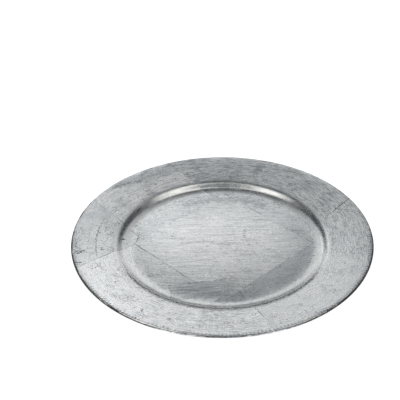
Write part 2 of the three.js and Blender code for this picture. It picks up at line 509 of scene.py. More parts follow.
# %% [markdown]
# ## Torn edges
# Leaf is so thin that it tears rather than cuts, so its edges wander. Each outline is walked in
# small steps and every point is pushed in or out by a smooth random amount from a fixed seed.
# Where a later sheet ends, a hairline of dark moulding shows beside it, wider in some places than
# in others: that is a second outline, a little outside the first. At the rim the leaf folds round
# the edge. Hands have rubbed most of that fold away at the sides, and two tabs of it are left whole
# at the front.

# %% Tear the outlines
EDGE_STEP = 0.0012
TEAR_UNIT = 0.001
TEAR_WAVES = ((0.5, 14), (0.3, 4))
GAP_MEAN, GAP_SWING, GAP_WAVE = 0.8, 0.6, 24
GAP_LEAST, GAP_MOST = 0.35, 2.2
chance = np.random.default_rng(46)


def wander(count, reach):
    """Smooth random numbers of about unit size, one for each step along an edge."""
    window = np.hanning(reach + 2)
    line = np.convolve(chance.standard_normal(count + 2 * reach), window, "same")
    return line[reach:reach + count] / np.sqrt((window ** 2).sum())


def torn_outline(name):
    """The edge of a sheet or scrap, and the line where the leaf below it starts to show."""
    middle, turn, length, width = place_of(name)
    how = habits(name)
    corners = np.array(((-1, -1), (1, -1), (1, 1), (-1, 1))) * (np.array((length, width)) / 2)
    edge, show_line = [], []
    for start, end, join in zip(corners, np.roll(corners, -1, axis=0), how.joins):
        count = int(np.linalg.norm(end - start) / EDGE_STEP)
        shares = np.arange(count)[:, None] / count
        out = np.array((end[1] - start[1], start[0] - end[0])) / np.linalg.norm(end - start)
        push = how.tear * TEAR_UNIT * sum(size * wander(count, reach) for size, reach in TEAR_WAVES)
        opening = np.interp(np.linspace(0, 1, count) ** 2, (0, 1), join) * TEAR_UNIT
        gap = opening * np.clip(GAP_MEAN + GAP_SWING * wander(count, GAP_WAVE), GAP_LEAST, GAP_MOST)
        line = start + shares * (end - start)
        edge.append(line + push[:, None] * out)
        show_line.append(line + (push + gap)[:, None] * out)
    return [np.concatenate(rows) @ plane_turn(turn) + middle for rows in (edge, show_line)]


outlines = {name: torn_outline(name) for name in ORDER}
print("outline points:", sum(len(edge) for edge, _ in outlines.values()))

# %% Fold the leaf round the rim
FOLD_BACK, FOLD_SIDES, FOLD_FRONT, FOLD_MOST = (math.radians(x) for x in (8, 32, 84, 130))
FOLD_LEAST = 0.1
FOLD_WAVES = ((9, 16), (5, 3))
TAB_AZIMUTHS, TAB_SPREAD, TAB_FOLD = (250, 290), 8, math.radians(45)
LEAF_END = RIM_END + EDGE_ROUND * FOLD_MOST
RIM_STEPS = 720


def rim_outline():
    """The line in the plan where the folded leaf ends."""
    angles = np.arange(RIM_STEPS) * 2 * math.pi / RIM_STEPS
    fold = FOLD_SIDES + (FOLD_FRONT - FOLD_SIDES) * np.maximum(0, -np.sin(angles)) ** 4
    fold += (FOLD_BACK - FOLD_SIDES) * np.maximum(0, np.sin(angles))
    for azimuth in TAB_AZIMUTHS:
        fold += TAB_FOLD * np.exp(-((np.degrees(angles) - azimuth) / TAB_SPREAD) ** 2)
    fold += sum(math.radians(size) * wander(RIM_STEPS, reach) for size, reach in FOLD_WAVES)
    reach = RIM_END + EDGE_ROUND * np.clip(fold, FOLD_LEAST, FOLD_MOST)
    return np.stack((reach * np.cos(angles), reach * np.sin(angles)), 1)


rim_edge = rim_outline()
print("rim points:", len(rim_edge), "furthest", round(float(np.hypot(*rim_edge.T).max()), 5))

# %% [markdown]
# ## One triangulation for all the leaf
# The sheets could be cut one by one with boolean modifiers, which is slow and leaves poor
# triangles on such thin skins. Here all the outlines are drawn into one flat triangulation over a
# grid of points that is fine on the curved wall and coarse on the floor. Each triangle then goes
# to the last sheet laid over it, and is lifted onto the plate afterwards.

# %% A grid of points in plan
MM = 1000.0
FLOOR_GRID, WALL_GRID, RIM_GRID = 0.006, 0.0011, 0.0044
WALL_GRID_END, RIM_GRID_START = 0.1235, 0.1275
FOLD_RINGS = 8
GRID_TURN, LEAST_TURN = 264, 6


def grid_points():
    """Points of the grid in millimetres: rings that lie close on the wall and wide elsewhere."""
    points = [(0.0, 0.0)]
    for radius in np.arange(FLOOR_GRID, FLOOR_RADIUS - FLOOR_GRID / 2, FLOOR_GRID):
        count = max(LEAST_TURN, int(2 * math.pi * radius / FLOOR_GRID))
        angles = np.arange(count) * 2 * math.pi / count
        points += [(radius * math.cos(a), radius * math.sin(a)) for a in angles]
    wall = np.arange(FLOOR_RADIUS, WALL_GRID_END, WALL_GRID)
    rim = np.arange(RIM_GRID_START, RIM_END, RIM_GRID)
    fold = np.linspace(RIM_END, LEAF_END, FOLD_RINGS)
    for spot, radius in enumerate(np.concatenate((wall, rim, fold))):
        half_step = 0.5 * (spot % 2)
        angles = (np.arange(GRID_TURN) + half_step) * 2 * math.pi / GRID_TURN
        points += [(radius * math.cos(a), radius * math.sin(a)) for a in angles]
    return np.array(points) * MM


grid = grid_points()
print("grid points:", len(grid))

# %% Triangulate the top of the plate
CLOSEST_MM = 1e-4


def triangulate():
    """Corners and triangles of the whole top, with every outline as an edge."""
    corners, edges = [grid], []
    count = len(grid)
    for line in [rim_edge, *(line for pair in outlines.values() for line in pair)]:
        ids = np.arange(len(line)) + count
        pairs = np.stack((ids, np.roll(ids, -1)), 1)
        near = np.hypot(*line.T) < LEAF_END + EDGE_STEP
        edges += [tuple(int(i) for i in pair) for pair in pairs[near & np.roll(near, -1)]]
        corners.append(line * MM)
        count += len(line)
    flat = [Vector(point) for point in np.concatenate(corners)]
    placed, _, faces, *_ = delaunay_2d_cdt(flat, edges, [], 0, CLOSEST_MM, False)
    faces = np.array([face for face in faces if len(face) == 3])
    return np.array([tuple(point) for point in placed]) / MM, faces


corners, triangles = triangulate()
print("triangles:", len(triangles))


# %% Give each triangle to the last sheet laid over it
def inside(points, line):
    """Which points lie within a closed line, by counting crossings."""
    found = np.zeros(len(points), bool)
    low, high = line.min(0), line.max(0)
    near = np.flatnonzero(((points > low) & (points < high)).all(1))
    x, y = points[near].T
    odd = np.zeros(len(near), bool)
    for (ax, ay), (bx, by) in zip(line, np.roll(line, -1, axis=0)):
        if ay != by:
            odd ^= ((ay > y) != (by > y)) & (x < (bx - ax) * (y - ay) / (by - ay) + ax)
    found[near] = odd
    return found


centres = corners[triangles].mean(1)
owner = np.full(len(triangles), -1)
open_still = inside(centres, rim_edge)
for order, name in reversed(list(enumerate(ORDER))):
    edge, show_line = outlines[name]
    on_sheet = inside(centres, edge)
    owner[open_still & on_sheet] = order
    open_still &= ~(on_sheet | inside(centres, show_line))
print("triangles on sheets:", int((owner >= 0).sum()), "bare:", int((owner < 0).sum()))

# %% [markdown]
# ## Lift the sheets onto the plate
# A sheet is a thin closed skin: the triangles once on top, once below, and a narrow wall round
# its edge. The flat plan is wrapped onto the section: distance from the axis in the plan is
# distance from the axis on the plate, and past the rim's top it runs on round the rounded edge,
# so the sheets fold over it as the real leaf does. A tear can cut a crumb off a sheet, and such
# crumbs are left out.

# %% Wrap the plan onto the section
FOLD_STEPS = 14


def wrapped(lift):
    """Plan distance, radius and height of the surface that lies this far off the moulding."""
    run = section(lift)
    slope = math.radians(RIM_SLOPE)
    centre = top_line[-1] - EDGE_ROUND * straight_up(slope)
    turns = np.linspace(0, FOLD_MOST, FOLD_STEPS)[1:]
    fold = [centre + (EDGE_ROUND + lift) * straight_up(slope - turn) for turn in turns]
    plan = np.concatenate((top_line[:, 0], RIM_END + EDGE_ROUND * turns))
    return plan, *np.concatenate((run, fold)).T


over_line = wrapped(GLUE_FILM + LEAF_THICKNESS)
under_line = wrapped(GLUE_FILM)
print("leaf's highest point:", round(float(over_line[2].max()), 5))

# %% Build each sheet
AXIS_GUARD = 1e-9


def sides_of(triangle):
    """The three sides of a triangle, each from one corner to the next."""
    a, b, c = triangle
    return (a, b), (b, c), (c, a)


def main_island(mine):
    """The largest connected group of these triangles, without crumbs."""
    beside = {}
    for spot, triangle in enumerate(mine):
        for side in sides_of(triangle):
            beside.setdefault(frozenset(side), []).append(spot)
    islands, left = [], set(range(len(mine)))
    while left:
        island, fresh = [], [left.pop()]
        while fresh:
            island.append(fresh.pop())
            sides = sides_of(mine[island[-1]])
            near = {spot for side in sides for spot in beside[frozenset(side)]} & left
            left -= near
            fresh += near
        islands.append(sorted(island))
    return mine[max(islands, key=len)]


def laid_skin(name, mine):
    """A closed skin over these triangles of the plan."""
    used, local = np.unique(mine, return_inverse=True)
    local = local.reshape(mine.shape)
    plan = corners[used]
    reach = np.hypot(*plan.T)
    sides = dict.fromkeys(side for triangle in local for side in sides_of(triangle))
    border = [(a, b) for a, b in sides if (b, a) not in sides]
    count = len(used)
    points = []
    for run, radius, height in (over_line, under_line):
        spread = np.interp(reach, run, radius) / np.maximum(reach, AXIS_GUARD)
        rows = np.column_stack((plan * spread[:, None], np.interp(reach, run, height)))
        points += [tuple(row) for row in rows]
    faces = [tuple(face) for face in local] + [tuple(face[::-1] + count) for face in local]
    faces += [(b, a, a + count, b + count) for a, b in border]
    mesh = bpy.data.meshes.new(name)
    mesh.from_pydata(points, [], faces)
    mesh.validate()
    return mesh


leaves = {}
for order, name in enumerate(ORDER):
    skin = laid_skin(f"{name}_laid", main_island(triangles[owner == order]))
    leaves[name] = show(f"{name}_laid", skin, name)
    print(name, len(skin.polygons), "faces")

# %% [markdown]
# ## Brushing
# The leaf was brushed down, which leaves fine streaks: across the plate on the floor, and round
# the plate on the rim. More than one material needs them, so they are one node group. Noise is
# squeezed along one direction and drawn out along the other. On the rim the direction turns with
# the plate, so the noise reads the direction from the axis and the distance from it, which has no
# seam. The group also gives masks of the rim, of the wall, where the leaf is smoothest, and of the
# middle, where the leaf is painted brighter: a painted highlight.

# %% Small helpers for node groups
def start_group(name, inputs, outputs):
    """A shader group with named sockets, and its inside ends."""
    group = bpy.data.node_groups.new(name, "ShaderNodeTree")
    for title, kind, value in inputs:
        socket = group.interface.new_socket(title, in_out="INPUT", socket_type="NodeSocket" + kind)
        socket.default_value = value
    for title in outputs:
        group.interface.new_socket(title, in_out="OUTPUT", socket_type="NodeSocketFloat")
    return group, group.nodes.new("NodeGroupInput").outputs, group.nodes.new("NodeGroupOutput").inputs


def vectors(tree, operation, *values):
    """A Vector Math node, and its vector result."""
    made = tree.nodes.new("ShaderNodeVectorMath")
    made.operation = operation
    for socket, value in zip(made.inputs, values):
        plug(tree, socket, value)
    return made.outputs["Value" if operation in ("LENGTH", "DOT_PRODUCT", "DISTANCE") else "Vector"]


def noise(tree, vector, scale, detail=2.0, roughness=0.55):
    """The value of a Noise Texture."""
    inputs = {"Vector": vector, "Scale": scale, "Detail": detail, "Roughness": roughness}
    return place(tree, "ShaderNodeTexNoise", **inputs).outputs["Fac"]


def ramp(tree, value, low, high, start=0.0, end=1.0):
    """A smooth step from start to end as the value goes from low to high."""
    made = place(tree, "ShaderNodeMapRange", {"interpolation_type": "SMOOTHSTEP"}, Value=value)
    for key, number in (("From Min", low), ("From Max", high), ("To Min", start), ("To Max", end)):
        plug(tree, made.inputs[key], number)
    return made.outputs["Result"]


def use_group(tree, group, **inputs):
    """A group node with its inputs set by name."""
    return place(tree, "ShaderNodeGroup", {"node_tree": group}, **inputs).outputs


print("helpers: start_group, vectors, noise, ramp, use_group")

# %% A node group for brush streaks
RIM_BLEND = (FLOOR_RADIUS, 0.105)
WALL_FOOT, WALL_TOP = (0.101, 0.107), (0.121, 0.117)
# Within these radii the middle of the well is painted brighter: a painted highlight.
PAINTED_HIGHLIGHT_BLEND = (0.092, 0.030)
FLAT_STREAKS = (30, 860, 0)
ROUND_STREAKS, ROUND_SPACING = (9, 9, 0), 760.0
STREAK_KINDS = (("Streaks", 1.0, 3.0), ("Fine Streaks", 1.9, 2.0))


def make_brushing():
    """Streaks across the floor and round the rim, with masks of the rim, wall and middle."""
    group, given, gives = start_group(
        "brush streaks",
        [("Position", "Vector", (0, 0, 0)), ("Turn", "Float", 0.0), ("Seed", "Float", 0.0)],
        ["Streaks", "Fine Streaks", "Rim", "Wall", "Middle"],
    )
    flat = vectors(group, "MULTIPLY", given["Position"], (1, 1, 0))
    aside = place(group, "ShaderNodeCombineXYZ", Z=given["Seed"]).outputs[0]
    turning = {"rotation_type": "Z_AXIS"}
    turned = place(group, "ShaderNodeVectorRotate", turning, Vector=flat, Angle=given["Turn"]).outputs[0]
    across = vectors(group, "ADD", vectors(group, "MULTIPLY", turned, FLAT_STREAKS), aside)
    reach = vectors(group, "LENGTH", flat)
    rings = place(group, "ShaderNodeCombineXYZ", Z=sums(group, "MULTIPLY", reach, ROUND_SPACING)).outputs[0]
    around = vectors(group, "MULTIPLY", vectors(group, "NORMALIZE", flat), ROUND_STREAKS)
    around = vectors(group, "ADD", vectors(group, "ADD", around, rings), aside)
    rim = ramp(group, reach, *RIM_BLEND)
    for title, scale, detail in STREAK_KINDS:
        floor_streaks = noise(group, across, scale, detail)
        rim_streaks = noise(group, around, scale, detail)
        mixed = place(group, "ShaderNodeMix", Factor=rim, A=floor_streaks, B=rim_streaks)
        group.links.new(mixed.outputs["Result"], gives[title])
    wall = sums(group, "MULTIPLY", ramp(group, reach, *WALL_FOOT), ramp(group, reach, *WALL_TOP))
    group.links.new(rim, gives["Rim"])
    group.links.new(wall, gives["Wall"])
    group.links.new(ramp(group, reach, *PAINTED_HIGHLIGHT_BLEND), gives["Middle"])
    return group


brushing = make_brushing()
print("group:", brushing.name, len(brushing.nodes), "nodes")

# %% [markdown]
# ## Wear in the leaf
# Old leaf has cloudy patches, a fine grain, cracks, crackle and pinholes where the dark moulding
# shows. Each is one kind of noise at its own scale: soft noise for the clouds, fine noise for the
# grain, a threshold of noise for the pinholes, the borders between Voronoi cells, bent and broken
# by noise, for the cracks, and the line where rough noise crosses its middle for the crackle.

# %% A node group for wear
CLOUD_SCALE, GRAIN_SCALE = 55.0, 800.0
CRACK_SCALE, CRACK_WIDTH = 70.0, 0.035
CRACK_BEND_SCALE, CRACK_BEND = 160.0, (0.012, 0.012, 0.0)
CRACK_BREAK_SCALE, CRACK_BREAK = 95.0, (0.55, 0.68)
CRACKLE_SCALE, CRACKLE_WIDTH = 130.0, 0.018
CRACKLE_PATCH_SCALE, CRACKLE_PATCH = 42.0, (0.52, 0.62)
PINHOLE_SCALE, PINHOLE_DRAW, PINHOLE_EDGE = 480.0, (0.6, 1.3, 1.0), (0.61, 0.69)
PINHOLE_CLOUDS = (0.42, 0.6)
MID_GREY = (0.5, 0.5, 0.5)


def make_wear():
    """Clouds, grain, and masks of pinholes, cracks and crackle."""
    group, given, gives = start_group(
        "leaf wear",
        [("Position", "Vector", (0, 0, 0)), ("Seed", "Float", 0.0)],
        ["Clouds", "Grain", "Pinholes", "Cracks", "Crackle"],
    )
    aside = place(group, "ShaderNodeCombineXYZ", Z=given["Seed"]).outputs[0]
    spot = vectors(group, "ADD", given["Position"], aside)
    clouds = noise(group, spot, CLOUD_SCALE, 4.0, 0.6)
    bend = place(group, "ShaderNodeTexNoise", Vector=spot, Scale=CRACK_BEND_SCALE, Detail=3.0)
    bend = vectors(group, "SUBTRACT", bend.outputs["Color"], MID_GREY)
    bent = vectors(group, "ADD", spot, vectors(group, "MULTIPLY", bend, CRACK_BEND))
    borders = {"feature": "DISTANCE_TO_EDGE"}
    cells = place(group, "ShaderNodeTexVoronoi", borders, Vector=bent, Scale=CRACK_SCALE)
    cracks = ramp(group, cells.outputs["Distance"], CRACK_WIDTH, 0.0)
    broken = ramp(group, noise(group, spot, CRACK_BREAK_SCALE, 3.0), *CRACK_BREAK)
    veins = sums(group, "SUBTRACT", noise(group, spot, CRACKLE_SCALE, 5.0, 0.65), 0.5)
    crackle = ramp(group, sums(group, "ABSOLUTE", veins), CRACKLE_WIDTH, 0.0)
    patches = ramp(group, noise(group, spot, CRACKLE_PATCH_SCALE, 2.0), *CRACKLE_PATCH)
    drawn = vectors(group, "MULTIPLY", spot, PINHOLE_DRAW)
    holes = ramp(group, noise(group, drawn, PINHOLE_SCALE, 4.0, 0.6), *PINHOLE_EDGE)
    for title, value in (
        ("Clouds", clouds),
        ("Grain", noise(group, spot, GRAIN_SCALE, 3.0, 0.7)),
        ("Pinholes", sums(group, "MULTIPLY", holes, ramp(group, clouds, *PINHOLE_CLOUDS))),
        ("Cracks", sums(group, "MULTIPLY", cracks, broken)),
        ("Crackle", sums(group, "MULTIPLY", crackle, patches)),
    ):
        group.links.new(value, gives[title])
    return group


wear = make_wear()
print("group:", wear.name, len(wear.nodes), "nodes")

# %% [markdown]
# ## Rub marks
# Besides the even wear the plate has single marks: a wrinkle in the middle, a smear on an edge,
# scratches on the rim. A rub mark is everything close to a straight line between two points. No
# real scuff is straight or whole, so noise bends the line and breaks it up. Where plates have been
# stacked, the mark runs along a ring instead, over part of a turn. The same marks also paint shade:
# a dark band along the front of the shoulder and a darker front corner on the middle sheet.
# Straight and round marks need the same fraying, so that is a group of its own.

# %% A node group for frayed marks
FRAY_BEND_SCALE, FRAY_BEND, FRAY_LEAST_BEND = 240.0, (3, 3, 0), 0.001
FRAY_SCALE, FRAY_START, FRAY_RISE, FRAY_SOFTNESS = 460.0, 0.2, 0.34, 0.14
FRAY_INPUTS = [("Width", "Float", 0.001), ("Fray", "Float", 0.5), ("Seed", "Float", 0.0)]
POSITION_INPUT = ("Position", "Vector", (0, 0, 0))


def make_fray():
    """A mask of what fraying leaves of a mark, and the position bent to match."""
    group, given, gives = start_group("fray", [POSITION_INPUT, *FRAY_INPUTS], ["Left"])
    group.interface.new_socket("Bent", in_out="OUTPUT", socket_type="NodeSocketVector")
    flat = vectors(group, "MULTIPLY", given["Position"], (1, 1, 0))
    aside = place(group, "ShaderNodeCombineXYZ", Z=given["Seed"]).outputs[0]
    spot = vectors(group, "ADD", flat, aside)
    bend = place(group, "ShaderNodeTexNoise", Vector=spot, Scale=FRAY_BEND_SCALE, Detail=3.0)
    bend = vectors(group, "SUBTRACT", bend.outputs["Color"], MID_GREY)
    bend = vectors(group, "MULTIPLY", bend, FRAY_BEND)
    much = sums(group, "ADD", given["Width"], FRAY_LEAST_BEND)
    bend = place(group, "ShaderNodeVectorMath", {"operation": "SCALE"}, Vector=bend, Scale=much)
    low = sums(group, "MULTIPLY_ADD", given["Fray"], FRAY_RISE, FRAY_START)
    high = sums(group, "ADD", low, FRAY_SOFTNESS)
    group.links.new(ramp(group, noise(group, spot, FRAY_SCALE, 4.0, 0.7), low, high), gives["Left"])
    bent = vectors(group, "ADD", flat, bend.outputs["Vector"])
    group.links.new(bent, group.nodes["Group Output"].inputs["Bent"])
    return group


fray = make_fray()
print("group:", fray.name, len(fray.nodes), "nodes")


# %% A node group for one rub mark, which also paints shade
def frayed(tree, given):
    """The fray group, fed with the inputs that every kind of mark has."""
    return use_group(tree, fray, **{key: given[key] for key in ("Position", "Width", "Fray", "Seed")})


def make_rub():
    """A mask of everything close to a line between two points."""
    ends = [("From", "Vector", (0, 0, 0)), ("To", "Vector", (0.01, 0, 0))]
    group, given, gives = start_group("rub mark", [POSITION_INPUT, *ends, *FRAY_INPUTS], ["Mark"])
    torn = frayed(group, given)
    run = vectors(group, "SUBTRACT", given["To"], given["From"])
    out = vectors(group, "SUBTRACT", torn["Bent"], given["From"])
    along, whole = vectors(group, "DOT_PRODUCT", out, run), vectors(group, "DOT_PRODUCT", run, run)
    share = sums(group, "DIVIDE", along, whole, clamp=True)
    foot = place(group, "ShaderNodeVectorMath", {"operation": "SCALE"}, Vector=run, Scale=share)
    line = ramp(group, vectors(group, "DISTANCE", out, foot.outputs["Vector"]), given["Width"], 0.0)
    group.links.new(sums(group, "MULTIPLY", line, torn["Left"]), gives["Mark"])
    return group


rub = make_rub()
print("group:", rub.name, len(rub.nodes), "nodes")

# %% A node group for a rub along a ring, which also paints shade along the shoulder
RING_FADE = 0.06


def make_ring_rub():
    """A mask of everything close to a ring, over part of a turn."""
    ring = [("Reach", "Float", 0.1), ("Towards", "Vector", (1, 0, 0)), ("Spread", "Float", 0.5)]
    group, given, gives = start_group("ring rub", [POSITION_INPUT, *ring, *FRAY_INPUTS], ["Mark"])
    torn = frayed(group, given)
    apart = sums(group, "SUBTRACT", vectors(group, "LENGTH", torn["Bent"]), given["Reach"])
    line = ramp(group, sums(group, "ABSOLUTE", apart), given["Width"], 0.0)
    line = sums(group, "MULTIPLY", line, torn["Left"])
    facing = vectors(group, "DOT_PRODUCT", vectors(group, "NORMALIZE", torn["Bent"]), given["Towards"])
    window = ramp(group, facing, given["Spread"], sums(group, "ADD", given["Spread"], RING_FADE))
    group.links.new(sums(group, "MULTIPLY", line, window), gives["Mark"])
    return group


ring_rub_and_shade = make_ring_rub()
print("group:", ring_rub_and_shade.name, len(ring_rub_and_shade.nodes), "nodes")

# %% [markdown]
# ## The leaf's finish
# Each sheet has its own material, because each was beaten, laid and brushed a little differently.
# Its tones in the well and on the rim are partly its own and partly painted reflection, and the
# middle of the well is painted brighter as a painted highlight. It is metal nearly everywhere.
# Where pinholes, cracks and rub marks go through, the dark moulding shows, which is no metal, so one
# mask turns the colour dark and the metal off together. The same mask paints shade in two places:
# along the front of the shoulder and on the front corner of the middle sheet. The tone of the metal
# dips more than it peaks, because dirt stays in the low places. Darker tones are also bluer, which
# is a painted cool reflection.

# %% Marks that can be seen one by one, in millimetres
MARKS_AND_SHADE = {
    # sheet: (from, to, width, fray, depth)
    "leaf_centre": (
        ((-29, 2.5), (14, 1.5), 4.5, 0.9, 0.6),
        ((-10, -1), (10, -2), 2.0, 0.8, 0.6),
        ((25, 26), (25, 10), 1.4, 0.65, 0.5),
        ((25, 10), (14, -14), 1.6, 0.8, 0.45),
        ((26, 8), (40, -28), 2.2, 0.8, 0.5),
        # This wide mark without fraying is painted shade on the front corner of the middle sheet.
        ((4, -95), (8, -66), 15.0, 0.0, 0.22),
        ((1, -44), (8, -57), 1.4, 0.8, 0.5),
        ((8, -57), (-2, -65), 1.4, 0.8, 0.5),
        ((-45, 52), (-28, 71), 6.0, 0.75, 0.28),
        ((3, -18), (20, -35), 0.5, 0.6, 0.35),
        ((14, -20), (30, -60), 1.2, 0.8, 0.35),
        ((36, 45), (56, 45), 3.0, 0.6, 0.25),
    ),
    "leaf_back_left": (
        ((-36, 79), (-14, 82), 0.7, 0.6, 0.45),
        ((-14, 82.5), (44, 87), 0.8, 0.5, 0.5),
        ((-108, 106), (-82, 120), 3.0, 0.75, 0.55),
        ((-96, 100), (-70, 118), 1.0, 0.8, 0.3),
    ),
    "leaf_back": (((-14, 82.5), (44, 87), 0.8, 0.5, 0.5), ((-5, 78), (28, 81), 0.6, 0.6, 0.35)),
    "leaf_back_right": (((-5, 82.5), (44, 87), 0.8, 0.5, 0.5), ((44, 100), (52, 96), 0.8, 0.7, 0.4)),
    "patch_rim_back": (
        ((-128, 98), (-100, 112), 3.0, 0.75, 0.6),
        ((-100, 114), (-70, 134), 3.4, 0.75, 0.55),
        ((-78, 132), (-62, 150), 3.0, 0.8, 0.5),
    ),
    "leaf_left": (
        ((-159, -34), (-153, -25), 1.3, 0.5, 0.9),
        ((-155, -34), (-149, -27), 1.3, 0.5, 0.9),
        ((-159, -28), (-148, -31), 1.2, 0.6, 0.9),
        ((-156, -51), (-149, -49), 1.4, 0.5, 0.9),
        ((-160, -8), (-158, -24), 1.6, 0.7, 0.7),
        ((-132, -22), (-129, -22), 1.0, 0.5, 0.8),
        ((-121, 28), (-116, 30), 0.9, 0.7, 0.8),
        ((-93, 19), (-95, 3), 1.2, 0.45, 0.8),
        ((-93, 18), (-88, 15), 1.0, 0.5, 0.8),
        ((-112, 4), (-109, 6), 1.6, 0.3, 0.9),
        ((-108, -2), (-105, 0), 1.2, 0.7, 0.6),
        ((-140, 62), (-128, 48), 0.6, 0.6, 0.3),
    ),
    "leaf_front_left": (
        ((-112, -90), (-98, -92), 1.4, 0.85, 0.55),
        ((-108, -104), (-70, -114), 1.6, 0.85, 0.4),
        ((-80, -52), (-76, -58), 1.2, 0.7, 0.6),
        ((-96, -132), (-88, -133), 1.0, 0.8, 0.55),
    ),
    "leaf_front_right": (((78, -41), (92, -36), 0.7, 0.5, 0.2), ((96, -28), (90, -44), 0.7, 0.5, 0.35)),
    "leaf_right": (((116, 4), (121, -10), 2.0, 0.8, 0.5), ((118, -22), (126, -26), 0.8, 0.7, 0.4)),
    "leaf_front": (((-52, -146), (-46, -154), 1.4, 0.8, 0.5),),
    "patch_rim_front": (((-64, -146), (-50, -156), 1.6, 0.8, 0.55),),
    "patch_well": (((-57, -73), (2, -63), 1.0, 0.6, 0.5), ((2, -63), (9, -52), 1.0, 0.7, 0.4)),
}
# distance from the axis, towards, half its spread in degrees, width, fray, depth
STACK_RUB = (88, 88, 36, 9.0, 0.35, 0.22)
# The ring along the front of the shoulder is painted shade: a dark band on the front sheets only.
PAINTED_SHOULDER_SHADE = (115.0, 270, 62, 2.0, 0.0, 0.9)
RINGS_AND_SHADE = {name: (STACK_RUB,) for name in ("leaf_centre", "leaf_back_left", "leaf_back_right", "leaf_back")}
for name in ("leaf_front_left", "leaf_front", "leaf_front_right", "leaf_right"):
    RINGS_AND_SHADE[name] = (PAINTED_SHOULDER_SHADE,)
RINGS_AND_SHADE["leaf_left"] = ((138.3, 180, 20, 1.0, 0.1, 0.5), (146.6, 180, 14, 1.0, 0.2, 0.3))
print("marks:", sum(len(rows) for table in (MARKS_AND_SHADE, RINGS_AND_SHADE) for rows in table.values()))

# %% Where the leaf is worn through
CRACK_DEPTH, CRACKLE_DEPTH = 0.6, 0.75
WELL_WEAR, RIM_WEAR, WALL_WEAR = 0.8, 1.2, 0.2


def marks_and_shade_on(tree, name, spot, seed):
    """The masks of a sheet's single marks, some of them painted shade, each with its depth."""
    for number, (start, end, width, ragged, depth) in enumerate(MARKS_AND_SHADE.get(name, ())):
        mark = use_group(
            tree, rub, Position=spot, Seed=seed + number, Width=width / MM, Fray=ragged,
            From=(start[0] / MM, start[1] / MM, 0), To=(end[0] / MM, end[1] / MM, 0),
        )
        yield mark["Mark"], depth
    for number, (reach, towards, spread, width, ragged, depth) in enumerate(RINGS_AND_SHADE.get(name, ())):
        around = math.radians(towards)
        mark = use_group(
            tree, ring_rub_and_shade, Position=spot, Seed=seed + number, Reach=reach / MM, Width=width / MM,
            Fray=ragged, Towards=(math.cos(around), math.sin(around), 0),
            Spread=math.cos(math.radians(spread)),
        )
        yield mark["Mark"], depth


def bare_and_shaded_places(tree, name, spot, seed, streaks, worn):
    """A mask of where the dark moulding shows: small wear everywhere, then the single marks, some of which
    are painted shade.
    """
    share = habits(name).wear
    bare = worn["Pinholes"]
    for crack, depth in ((worn["Cracks"], CRACK_DEPTH), (worn["Crackle"], CRACKLE_DEPTH)):
        bare = sums(tree, "MAXIMUM", bare, sums(tree, "MULTIPLY", crack, depth))
    by_rim = ramp(tree, streaks["Rim"], 0, 1, WELL_WEAR * share, RIM_WEAR * share)
    by_wall = ramp(tree, streaks["Wall"], 0, 1, 1.0, WALL_WEAR)
    bare = sums(tree, "MULTIPLY", sums(tree, "MULTIPLY", bare, by_rim), by_wall)
    for mark, depth in marks_and_shade_on(tree, name, spot, seed):
        bare = sums(tree, "MAXIMUM", bare, sums(tree, "MULTIPLY", mark, depth))
    return bare


print("wear in the well and on the rim:", WELL_WEAR, RIM_WEAR)

# %% How bright the metal is
# How much brighter the middle of the well is painted: a painted highlight.
PAINTED_HIGHLIGHT = 0.20
PEAK_SHARE = 0.4
STREAK_DEPTH, FINE_STREAK_DEPTH = 1.0, 1.4
# what the rim adds, and the depth in the well
CLOUD_DEPTH, GRAIN_DEPTH = (0.45, 0.5), (-1.1, 1.9)


def metal_tone_and_painted_light(tree, name, streaks, worn, calm):
    """The metal's tone from its place on the plate, which is partly painted reflection and a painted
    highlight, then from streaks, clouds and grain.
    """
    how = habits(name)
    # The tones in the well and on the rim are partly painted reflection.
    tone = ramp(tree, streaks["Rim"], 0, 1, how.well_tone, how.rim_tone)
    # The middle of the well is made brighter here: a painted highlight.
    tone = sums(tree, "MULTIPLY", tone, sums(tree, "MULTIPLY_ADD", streaks["Middle"], PAINTED_HIGHLIGHT, 1.0))
    for value, depth in (
        (streaks["Streaks"], STREAK_DEPTH * how.brush_depth),
        (streaks["Fine Streaks"], FINE_STREAK_DEPTH * how.brush_depth),
        (worn["Clouds"], sums(tree, "MULTIPLY_ADD", streaks["Rim"], *CLOUD_DEPTH)),
        (worn["Grain"], sums(tree, "MULTIPLY_ADD", streaks["Rim"], *GRAIN_DEPTH)),
    ):
        change = sums(tree, "MULTIPLY", sums(tree, "SUBTRACT", value, 0.5), calm)
        change = sums(tree, "MINIMUM", change, sums(tree, "MULTIPLY", change, PEAK_SHARE))
        tone = sums(tree, "MULTIPLY", tone, sums(tree, "MULTIPLY_ADD", change, depth, 1.0))
    return tone


print("painted_highlight in the middle:", PAINTED_HIGHLIGHT)

# %% Make the leaf materials
# Darker tones turn bluer towards the deep colour: a painted cool reflection on top of the leaf's own
# colour.
LEAF_PALE, LEAF_DEEP_AND_PAINTED_COOL = (0.682, 0.697, 0.706, 1), (0.640, 0.692, 0.722, 1)
TONE_PALE, TONE_DEEP = 1.1, 0.6
BARE_COLOUR = (0.035, 0.037, 0.040, 1)
LEAF_ROUGHNESS, CLOUD_ROUGHNESS, STREAK_ROUGHNESS = 0.25, 0.18, 0.15
WALL_CALM = 0.3
GRAIN_RELIEF, RELIEF_MIDDLE = 0.5, 0.75
RELIEF_STRENGTH, RELIEF_DEPTH = 0.25, 0.00008
SEED_STEP = 3.7


def tinted(tree, factor, a, b):
    """A colour that goes from a to b with the factor."""
    made = tree.nodes.new("ShaderNodeMix")
    made.data_type = "RGBA"
    for socket, value in zip((made.inputs[0], made.inputs[6], made.inputs[7]), (factor, a, b)):
        plug(tree, socket, value)
    return made.outputs[2]


